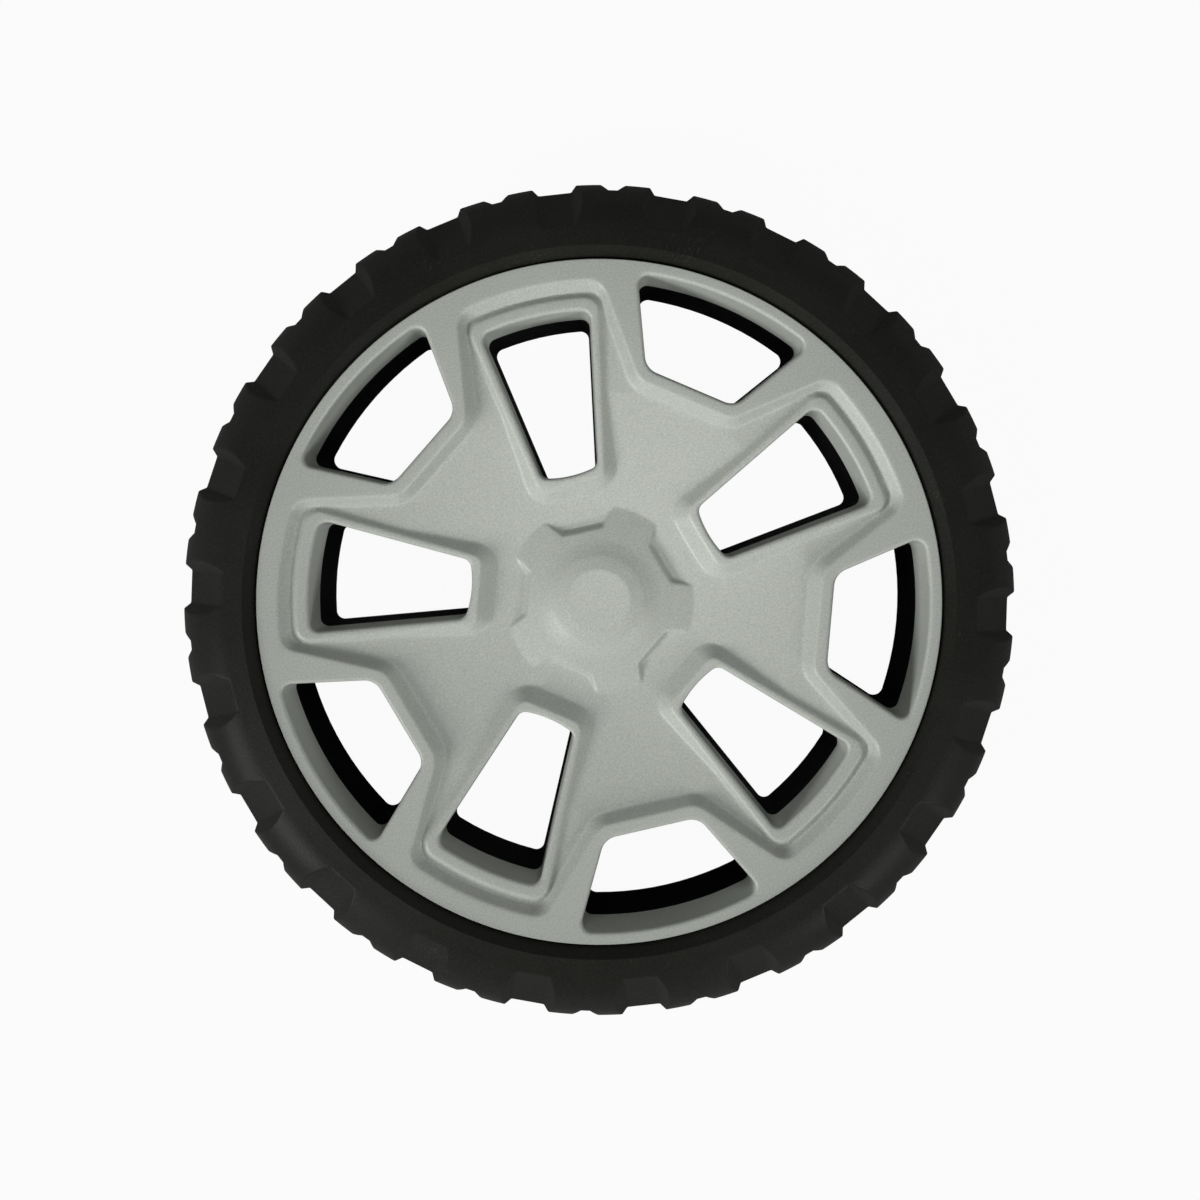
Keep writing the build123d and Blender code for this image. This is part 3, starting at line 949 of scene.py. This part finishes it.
@dataclass
class WheelCover:
    """Silver-grey front cover: a dished shell with framed windows, star hub and snap hooks, in millimetres.

    A pair of radii and heights is a slope's course, with heights under the rim plane.
    """

    levels: WheelLevels = LEVELS
    wall: float = 2.5
    skirt_wall: float = 1.5
    draft: float = 1.2
    edge_round: float = 0.35
    edge_steps: int = 7
    window_round: float = 1.15
    round_steps: int = 8
    wall_shares: tuple[float, ...] = (0.1, 0.35, 0.65, 1.0)
    flange_radius: float = 99.0
    floor_radii: tuple[float, ...] = (22.0, 62.0, 91.3)
    floor_heights: tuple[float, ...] = (-9.3, -4.1, -3.1)
    groove_radius: float = 94.4
    groove_corner: float = 6.2
    groove_cosine: float = 0.354
    groove_tangent: float = 1.0
    groove_blend: float = 8.0
    plateau_chord: float = 64.4
    plateau_half_width: float = 14.7
    plateau_angle: float = 43.7
    plateau_corner: float = 6.5
    plateau_tangent: float = 1.4
    frame_outer: float = 89.4
    frame_outer_corner: float = 4.0
    frame_outer_cosine: float = 0.02
    frame_inner: float = 35.7
    frame_inner_corner: float = 3.2
    frame_inner_cosine: float = 0.189
    frame_half_width: float = 2.82
    frame_angle: float = 10.9
    frame_tangent: float = 0.97
    frame_radii: tuple[float, ...] = (36.0, 88.0)
    frame_heights: tuple[float, ...] = (-3.6, -1.5)
    dome_radii: tuple[float, ...] = (9.2, 13.3, 14.6, 17.7, 47.7)
    dome_heights: tuple[float, ...] = (-3.1, -4.2, -4.8, -5.9, -13.2)
    scallop_chord: float = 22.3
    scallop_half_width: float = 5.9
    scallop_flare: float = 50.9
    scallop_tangent: float = 1.88
    soft_radii: tuple[float, float] = (27.0, 33.0)
    soft_sizes: tuple[float, float] = (0.35, 0.6)
    soft_centre: float = 2.0
    soft_rings: tuple[tuple[float, int, float], ...] = ((0.35, 6, 1.5), (0.7, 10, 1.2), (1.0, 14, 0.7))
    hook_radius: float = 46.0
    hook_width: float = 8.0
    hook_thickness: float = 2.0
    hook_barb: float = 1.4
    hook_root: float = 39.6
    hook_reach: float = 3.1
    hook_nose: float = 2.4
    edge_spacing: float = 0.75
    rim_columns: int = 900
    front_spacing: tuple[float, float] = (0.52, 1.5)
    front_margin: float = 0.35
    back_spacing: tuple[float, float] = (1.6, 4.0)
    back_margin: float = 0.8
    bend_limit: float = 0.16
    sharp_degrees: float = 40.0

    def floor(self, x: np.ndarray, y: np.ndarray) -> np.ndarray:
        """Floor of the dish, which falls towards the hub.

        Args:
            x: x of each point.
            y: y of each point.

        Returns:
            Height under the rim plane.
        """
        return np.interp(np.hypot(x, y), self.floor_radii, self.floor_heights)

    def dish(self, x: np.ndarray, y: np.ndarray) -> np.ndarray:
        """Dish with walls that climb to the rim and to the level fields round the wide windows.

        The wall's steepness blends from the rim's to the field's where the two meet.

        Args:
            x: x of each point.
            y: y of each point.

        Returns:
            Height under the rim plane.
        """
        along, across = WIDE_WINDOW.local(x, y)
        side = beside(along, across, self.plateau_half_width, self.plateau_chord, self.plateau_angle)
        cosine = math.sin(math.radians(self.plateau_angle))
        field = rounded_corner(self.plateau_chord - along, side, cosine, self.plateau_corner)
        rim = np.hypot(x, y) - self.groove_radius
        sunk = rounded_corner(rim, -field, self.groove_cosine, self.groove_corner)
        share = np.clip(0.5 + (rim + field) / self.groove_blend, 0, 1)
        tangent = self.plateau_tangent + share * (self.groove_tangent - self.plateau_tangent)
        return np.maximum(self.floor(x, y), np.minimum(0, tangent * sunk))

    def frames(self, x: np.ndarray, y: np.ndarray) -> np.ndarray:
        """Frames of the long windows: falling tops with sloped sides.

        Args:
            x: x of each point.
            y: y of each point.

        Returns:
            Height under the rim plane.
        """
        radius = np.hypot(x, y)
        along, across = LONG_WINDOW.local(x, y)
        side = beside(along, across, self.frame_half_width, 0.0, self.frame_angle)
        outer, inner = radius - self.frame_outer, self.frame_inner - along
        outer = rounded_corner(outer, side, self.frame_outer_cosine, self.frame_outer_corner)
        inner = rounded_corner(inner, side, self.frame_inner_cosine, self.frame_inner_corner)
        top = np.interp(radius, self.frame_radii, self.frame_heights)
        return top - self.frame_tangent * np.maximum(np.maximum(outer, inner), 0)

    def hub(self, x: np.ndarray, y: np.ndarray) -> np.ndarray:
        """Star hub: a stepped dome cut by five flared scallops.

        Args:
            x: x of each point.
            y: y of each point.

        Returns:
            Height under the rim plane.
        """
        dome = np.interp(np.hypot(x, y), self.dome_radii, self.dome_heights)
        along, across = LONG_WINDOW.local(x, y)
        flare = beside(along, across, self.scallop_half_width, self.scallop_chord, self.scallop_flare)
        clear = np.maximum(self.scallop_chord - along, flare)
        floor = self.floor(x, y)
        cut = np.where(clear > 0, floor + self.scallop_tangent * clear, floor - 1.0)
        return np.minimum(dome, cut)

    def sharp_height(self, x: np.ndarray, y: np.ndarray) -> np.ndarray:
        """Front surface before its edges are softened: the highest of dish, frames and hub.

        Args:
            x: x of each point.
            y: y of each point.

        Returns:
            Height, zero at the rim plane and negative below.
        """
        return np.maximum(np.maximum(self.dish(x, y), self.frames(x, y)), self.hub(x, y))

    def soft_height(self, x: np.ndarray, y: np.ndarray) -> np.ndarray:
        """Front surface with moulded edges: the mean of the sharp surface over a small disc.

        The disc is small on the crisp hub and wider on the frames and fields.

        Args:
            x: x of each point.
            y: y of each point.

        Returns:
            Softened height.
        """
        size = np.interp(np.hypot(x, y), self.soft_radii, self.soft_sizes)
        total = self.soft_centre * self.sharp_height(x, y)
        weight = self.soft_centre
        for share, count, part in self.soft_rings:
            for step in range(count):
                angle = 2 * math.pi * (step + share) / count
                shift_x, shift_y = size * share * math.cos(angle), size * share * math.sin(angle)
                total = total + part * self.sharp_height(x + shift_x, y + shift_y)
                weight += part
        return total / weight

    def window_gap(self, x: np.ndarray, y: np.ndarray) -> np.ndarray:
        """Distance outside the nearest window of either kind.

        Args:
            x: x of each point.
            y: y of each point.

        Returns:
            Distance, negative inside a window.
        """
        gaps = [outline.outside(*outline.local(x, y)) for outline in (LONG_WINDOW, WIDE_WINDOW)]
        return np.minimum(*gaps)

    def front_height(self, x: np.ndarray, y: np.ndarray) -> np.ndarray:
        """Height of the finished front, with quarter-round window edges.

        Args:
            x: x of each point.
            y: y of each point.

        Returns:
            Height above the ground.
        """
        left = np.clip(self.window_round - self.window_gap(x, y), 0, self.window_round)
        drop = self.window_round - np.sqrt(self.window_round ** 2 - left ** 2)
        return self.levels.front + self.soft_height(x, y) - drop

    def underside(self, x: np.ndarray, y: np.ndarray) -> np.ndarray:
        """Height of the shell's inner side, one wall under the front.

        Args:
            x: x of each point.
            y: y of each point.

        Returns:
            Height above the ground.
        """
        return self.levels.front - self.wall + self.sharp_height(x, y)

    def even_points(self, limit: float, gap: float, spacing: float) -> np.ndarray:
        """Points of an even triangle pattern, clear of the rim and the windows.

        Args:
            limit: radius that the points stay inside.
            gap: distance that they keep from the windows.
            spacing: distance between them.

        Returns:
            Array of shape (n, 2).
        """
        row = np.arange(-limit, limit, spacing * math.sqrt(3) / 2)
        column = np.arange(-limit, limit, spacing)
        x = column[None, :] + np.where(np.arange(len(row)) % 2, spacing / 2, 0)[:, None]
        y = np.broadcast_to(row[:, None], x.shape)
        spots = np.stack([x.ravel(), y.ravel()], axis=-1)
        spots = spots[np.hypot(*spots.T) < limit]
        return spots[self.window_gap(*spots.T) > gap]

    def bends(self, spots: np.ndarray, step: float) -> np.ndarray:
        """Whether the sharp surface bends near each point, told from eight points round it.

        Args:
            spots: array of shape (n, 2).
            step: distance of the nearer four points; the others lie twice as far.

        Returns:
            Mask of shape (n,).
        """
        x, y = spots.T
        ways = ((1, 0), (-1, 0), (0, 1), (0, -1))
        shifts = [(a * far, b * far) for far in (step, 2 * step) for a, b in ways]
        around = sum(self.sharp_height(x + shift_x, y + shift_y) for shift_x, shift_y in shifts)
        return np.abs(around - len(shifts) * self.sharp_height(x, y)) > self.bend_limit

    def field_points(self, limit: float, gap: float, spacing: tuple[float, float]) -> np.ndarray:
        """Points that fill the front: an even field, closer where the surface bends.

        Args:
            limit: radius that the points stay inside.
            gap: distance that they keep from the windows.
            spacing: distance between points where the surface bends, and elsewhere.

        Returns:
            Array of shape (n, 2).
        """
        close, wide = (self.even_points(limit, gap, step) for step in spacing)
        return np.concatenate([close[self.bends(close, spacing[0])], wide[~self.bends(wide, spacing[0])]])

    def filled(self, borders: list[np.ndarray], spots: np.ndarray, limit: float,
               gap: float) -> tuple[np.ndarray, np.ndarray]:
        """Triangles between closed borders through a field of points.

        Args:
            borders: closed outlines of shape (n, 2).
            spots: free points of shape (m, 2).
            limit: triangles lie inside this radius.
            gap: triangles lie at least this far outside the windows.

        Returns:
            Plan points of shape (n, 2) and triangles of shape (m, 3).
        """
        starts = np.cumsum([0] + [len(border) for border in borders])
        edges = np.concatenate([
            start + np.stack([np.arange(len(border)), np.roll(np.arange(len(border)), -1)], axis=-1)
            for start, border in zip(starts, borders)
        ])
        plan = np.concatenate(borders + [spots])
        made = delaunay_2d_cdt(plan.tolist(), edges.tolist(), [], 0, 1e-7, False)
        plan = np.array([tuple(point) for point in made[0]])
        triangles = np.array(made[2])
        centre = plan[triangles].mean(axis=1)
        kept = (np.hypot(*centre.T) < limit) & (self.window_gap(*centre.T) > gap)
        return plan, triangles[kept]

    def lifted(self, plan: np.ndarray, height: np.ndarray) -> np.ndarray:
        """Plan points with heights as points in space.

        Args:
            plan: array whose last axis is x and y.
            height: heights that fit the other axes.

        Returns:
            Array whose last axis is x, y and z.
        """
        return np.concatenate([plan, np.broadcast_to(height, plan.shape[:-1])[..., None]], axis=-1)

    def window_strips(self, stack: MeshStack,
                      outline: WindowOutline) -> tuple[list[np.ndarray], list[np.ndarray]]:
        """Edge rounds, drafted walls and skirts of one kind of window.

        Rings run from the front surface over the quarter-round edge, down the drafted wall to the skirt's
        foot, outwards under it and up its outer side to the underside.

        Args:
            stack: where the strips go.
            outline: the window's outline.

        Returns:
            Front borders and underside borders, one of each per window.
        """
        shares = np.array(self.wall_shares)
        depth = self.levels.front - self.levels.seat
        front = self.window_round * (1 - np.cos(np.linspace(0, math.pi / 2, self.round_steps)))[::-1]
        sunk = -math.tan(math.radians(self.draft)) * depth * shares
        skirt = np.array([self.skirt_wall + sunk[-1], self.skirt_wall])
        rings = outline.rings(np.concatenate([front, sunk, skirt]), self.edge_spacing)
        rings = turned(rings, outline.kind.value)
        top = self.front_height(rings[:len(front), :, 0], rings[:len(front), :, 1])
        side = top[-1] + shares[:, None] * (self.levels.seat - top[-1])
        foot = np.full_like(top[:1], self.levels.seat)
        back = self.underside(rings[-1:, :, 0], rings[-1:, :, 1])
        points = self.lifted(rings, np.concatenate([top, side, foot, back]))
        tops, feet = [], []
        for step in range(self.levels.window_count):
            copy = turned(points, 360 / self.levels.window_count * step)
            stack.add(copy, grid_quads(copy.shape[0], copy.shape[1]))
            tops.append(copy[0, :, :2])
            feet.append(copy[-1, :, :2])
        return tops, feet

    def rim_strip(self, stack: MeshStack) -> tuple[np.ndarray, np.ndarray]:
        """Rounded outer edge, rim side and inner step of the cover, turned round the axis.

        Args:
            stack: where the strip goes.

        Returns:
            Front border and underside border.
        """
        turn = np.linspace(0, math.pi / 2, self.edge_steps)
        outer, level = self.levels.cover_radius, self.levels.front
        curve = [outer, level] - self.edge_round * (1 - np.stack([np.sin(turn), np.cos(turn)], axis=-1))
        rest = np.array([
            (outer, self.levels.barrel_top), (self.flange_radius, self.levels.barrel_top),
            (self.flange_radius, level - self.wall),
        ])
        profile = np.concatenate([curve, rest])
        angle = np.arange(self.rim_columns) * 2 * math.pi / self.rim_columns
        plan = profile[:, 0][:, None, None] * np.stack([np.cos(angle), np.sin(angle)], axis=-1)
        points = self.lifted(plan, profile[:, 1][:, None])
        stack.add(points, grid_quads(len(profile), self.rim_columns))
        return points[0, :, :2], points[-1, :, :2]

    def hook(self) -> tuple[np.ndarray, np.ndarray, np.ndarray]:
        """One snap hook: a profile of shank, barb and sloped nose, carried straight across its width.

        Returns:
            Points, the faces round it and its two end faces.
        """
        back, face = self.hook_radius - self.hook_thickness / 2, self.hook_radius + self.hook_thickness / 2
        catch = self.levels.seat - self.hook_reach
        profile = np.array([
            (back, self.hook_root), (face, self.hook_root), (face, catch), (face + self.hook_barb, catch),
            (face, catch - self.hook_nose), (back, catch - self.hook_nose),
        ])
        count = len(profile)
        sides = np.repeat([-self.hook_width / 2, self.hook_width / 2], count)
        points = np.stack([np.tile(profile[:, 0], 2), sides, np.tile(profile[:, 1], 2)], axis=-1)
        ring = np.arange(count)
        after = np.roll(ring, -1)
        walls = np.stack([ring, after, after + count, ring + count], axis=-1)
        return points, walls, np.stack([ring[::-1], ring + count])

    def build(self) -> bpy.types.Object:
        """Make the cover as one closed shell.

        Returns:
            The cover object.
        """
        stack = MeshStack()
        strips = [self.window_strips(stack, outline) for outline in (LONG_WINDOW, WIDE_WINDOW)]
        tops = [border for strip in strips for border in strip[0]]
        feet = [border for strip in strips for border in strip[1]]
        rim_top, rim_foot = self.rim_strip(stack)
        limit, gap = self.levels.cover_radius - self.edge_round, self.window_round
        spots = self.field_points(limit - self.front_margin, gap + self.front_margin, self.front_spacing)
        plan, triangles = self.filled(tops + [rim_top], spots, limit, gap)
        stack.add(self.lifted(plan, self.front_height(*plan.T)), triangles)
        limit, gap = self.flange_radius, self.skirt_wall
        spots = self.field_points(limit - self.back_margin, gap + self.back_margin, self.back_spacing)
        plan, triangles = self.filled(feet + [rim_foot], spots, limit, gap)
        stack.add(self.lifted(plan, self.underside(*plan.T)), triangles)
        points, walls, ends = self.hook()
        for step in range(self.levels.window_count):
            angle = WindowKind.WIDE.value + 360 / self.levels.window_count * step
            stack.add(turned(points, angle), walls, ends)
        return stack.piece("wheel_cover_shell", self.sharp_degrees)


@dataclass
class WheelBody:
    """Black wheel body, kept as its own solid and dressed."""

    node: str = "wheel_body"

    def dress(self, shelf: FinishShelf) -> None:
        """Give the body its black moulded plastic.

        Args:
            shelf: the finished materials.
        """
        shelf.dress(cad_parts[self.node], Slot.BODY)


@dataclass
class BearingPair:
    """Two sealed ball bearings and the sleeve between them, kept as their own solids and dressed."""

    places: tuple[str, ...] = ("front", "rear")

    def dress(self, shelf: FinishShelf) -> None:
        """Give rings, balls, cages, seals and spacer their finishes.

        Args:
            shelf: the finished materials.
        """
        slots = {
            "outer_ring": Slot.BEARING, "inner_ring": Slot.BEARING, "balls": Slot.BALL, "cage": Slot.CAGE,
            "front_seal": Slot.SEAL, "rear_seal": Slot.SEAL,
        }
        shelf.dress(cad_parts["bearing_spacer"], Slot.SPACER)
        for place in self.places:
            for piece, slot in slots.items():
                shelf.dress(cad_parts[f"{place}_bearing_{piece}"], slot)


@dataclass
class Studio:
    """Camera, soft lights, white floor and surroundings, in metres, watts, degrees and photo pixels."""

    image_size: float = 1200.0
    focal_pixels: float = 1535.0
    sensor_width: float = 36.0
    rim_distance: float = 0.450
    rim_pixel: tuple[float, float] = (599.14, 601.70)
    axis_pixel: tuple[float, float] = (602.1, 516.5)
    long_window_angle: float = 102.94
    side_angles: tuple[float, float] = (201.0, 302.0)
    side_powers: tuple[float, float] = (69.0, 33.0)
    side_height: float = 30.0
    side_distance: float = 3.0
    side_size: float = 1.1
    top_place: tuple[float, float, float] = (0.007, 0.013, 0.170)
    top_size: float = 0.08
    top_power: float = 0.064
    aim_height: float = 0.03
    surround: float = 0.03
    floor_half: float = 2.0
    floor_level: float = -0.0002
    floor_colour: tuple[float, ...] = (0.5, 0.5, 0.5, 1)
    floor_glow: float = 0.95
    shaded_radius: float = 0.35

    def camera(self) -> None:
        """Place the camera from the photo's own geometry.

        The photo looks straight along the wheel's axis and is cut off-centre: lines along the axis meet at
        one pixel, the rim's middle lies at another, and a long window's middle lies at a known angle in the
        picture.
        """
        middle = self.image_size / 2
        to_world = Matrix.Rotation(math.radians(WindowKind.LONG.value - self.long_window_angle), 3, "Z")
        scale = self.rim_distance / self.focal_pixels
        rim = Vector(((self.rim_pixel[0] - self.axis_pixel[0]) * scale,
                      (self.axis_pixel[1] - self.rim_pixel[1]) * scale, -self.rim_distance))
        place = Vector((0, 0, LEVELS.front * MILLIMETRE)) - to_world @ rim
        data = bpy.data.cameras.new("photo_camera")
        data.sensor_width = self.sensor_width
        data.lens = self.focal_pixels / self.image_size * data.sensor_width
        data.shift_x = (middle - self.axis_pixel[0]) / self.image_size
        data.shift_y = (self.axis_pixel[1] - middle) / self.image_size
        data.clip_start = 0.01
        camera = bpy.data.objects.new("photo_camera", data)
        camera.matrix_world = Matrix.Translation(place) @ to_world.to_4x4()
        bpy.context.scene.collection.objects.link(camera)
        bpy.context.scene.camera = camera

    def lamp(self, name: str, place: Vector, size: float, power: float) -> None:
        """Add a square soft light aimed at the wheel's middle, unseen by the camera itself.

        Args:
            name: the light's name.
            place: its place.
            size: its side length in metres.
            power: its power in watts.
        """
        data = bpy.data.lights.new(name, "AREA")
        data.size = size
        data.energy = power
        lamp = bpy.data.objects.new(name, data)
        lamp.visible_camera = False
        aim = Vector((0, 0, self.aim_height)) - place
        lamp.matrix_world = Matrix.Translation(place) @ aim.to_track_quat("-Z", "Y").to_matrix().to_4x4()
        bpy.context.scene.collection.objects.link(lamp)

    def lights(self) -> None:
        """Two low side lights, as the photo's slopes and lugs show, and a small one above the hub."""
        lift = math.radians(self.side_height)
        for number, (angle, power) in enumerate(zip(self.side_angles, self.side_powers), 1):
            turn = math.radians(angle)
            way = Vector((math.cos(turn) * math.cos(lift), math.sin(turn) * math.cos(lift), math.sin(lift)))
            self.lamp(f"side_light_{number}", way * self.side_distance, self.side_size, power)
        self.lamp("top_light", Vector(self.top_place), self.top_size, self.top_power)

    def seen(self, sheet: NodeSheet) -> bpy.types.NodeSocket:
        """Mask of the rays that look at the background: camera, glossy and transmission rays.

        Args:
            sheet: the tree to add to.

        Returns:
            The mask's socket.
        """
        path = sheet.add("LightPath")
        both = sheet.math("MAXIMUM", path.outputs["Is Camera Ray"], path.outputs["Is Glossy Ray"])
        return sheet.math("MAXIMUM", both, path.outputs["Is Transmission Ray"])

    def surroundings(self) -> None:
        """White background for the rays that see it, and a plain even light for the rest."""
        world = bpy.data.worlds.new("white_studio")
        world.use_nodes = True
        bpy.context.scene.world = world
        sheet = NodeSheet(world.node_tree)
        plain = world.node_tree.nodes["Background"]
        set_inputs(plain, {"Color": (1, 1, 1, 1), "Strength": self.surround})
        white = sheet.add("Background", {"Color": (1, 1, 1, 1), "Strength": 1.0})
        mixed = sheet.add("MixShader", {0: self.seen(sheet), 1: plain.outputs[0], 2: white.outputs[0]})
        set_inputs(world.node_tree.nodes["World Output"], {"Surface": mixed.outputs[0]})

    def floor(self) -> None:
        """Floor that the camera sees as white with a soft shadow; reflections near the wheel see it shaded."""
        half = self.floor_half
        mesh = bpy.data.meshes.new("floor")
        corners = [(-half, -half), (half, -half), (half, half), (-half, half)]
        mesh.from_pydata([(x, y, self.floor_level) for x, y in corners], [], [[0, 1, 2, 3]])
        floor = bpy.data.objects.new("floor", mesh)
        bpy.context.scene.collection.objects.link(floor)
        material, sheet, shader = new_material("white_floor")
        set_inputs(shader, {"Base Color": self.floor_colour, "Roughness": 0.9})
        glow = sheet.add("Emission", {"Color": (1, 1, 1, 1), "Strength": 1.0})
        place = sheet.add("TexCoord").outputs["Object"]
        radius = sheet.add("VectorMath", {0: place}, operation="LENGTH").outputs["Value"]
        open_floor = sheet.math("GREATER_THAN", radius, self.shaded_radius)
        camera_ray = sheet.add("LightPath").outputs["Is Camera Ray"]
        lit = sheet.math("MULTIPLY", self.seen(sheet), sheet.math("MAXIMUM", open_floor, camera_ray))
        share = sheet.math("MULTIPLY", lit, self.floor_glow)
        mixed = sheet.add("MixShader", {0: share, 1: shader.outputs[0], 2: glow.outputs[0]})
        set_inputs(material.node_tree.nodes["Material Output"], {"Surface": mixed.outputs[0]})
        mesh.materials.append(material)

    def build(self) -> None:
        """Make the whole studio."""
        self.camera()
        self.lights()
        self.surroundings()
        self.floor()
        bpy.context.scene.view_settings.view_transform = "Standard"


def main() -> None:
    """Build and dress every sub-assembly in order."""
    logging.basicConfig(level=logging.INFO, format="%(name)s: %(message)s")
    shelf = FinishShelf()
    for maker, node, slot in ((LuggedTyre(), "tyre", Slot.TYRE), (WheelCover(), "wheel_cover", Slot.COVER)):
        piece = maker.build()
        shelf.dress(piece, slot)
        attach(piece, "wheel")
        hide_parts(node)
        LOG.info("%s stands for %s with %d faces", piece.name, node, len(piece.data.polygons))
    WheelBody().dress(shelf)
    LOG.info("wheel body dressed")
    BearingPair().dress(shelf)
    LOG.info("bearings and spacer dressed")
    Studio().build()
    LOG.info("studio set")


if __name__ == "__main__":
    main()
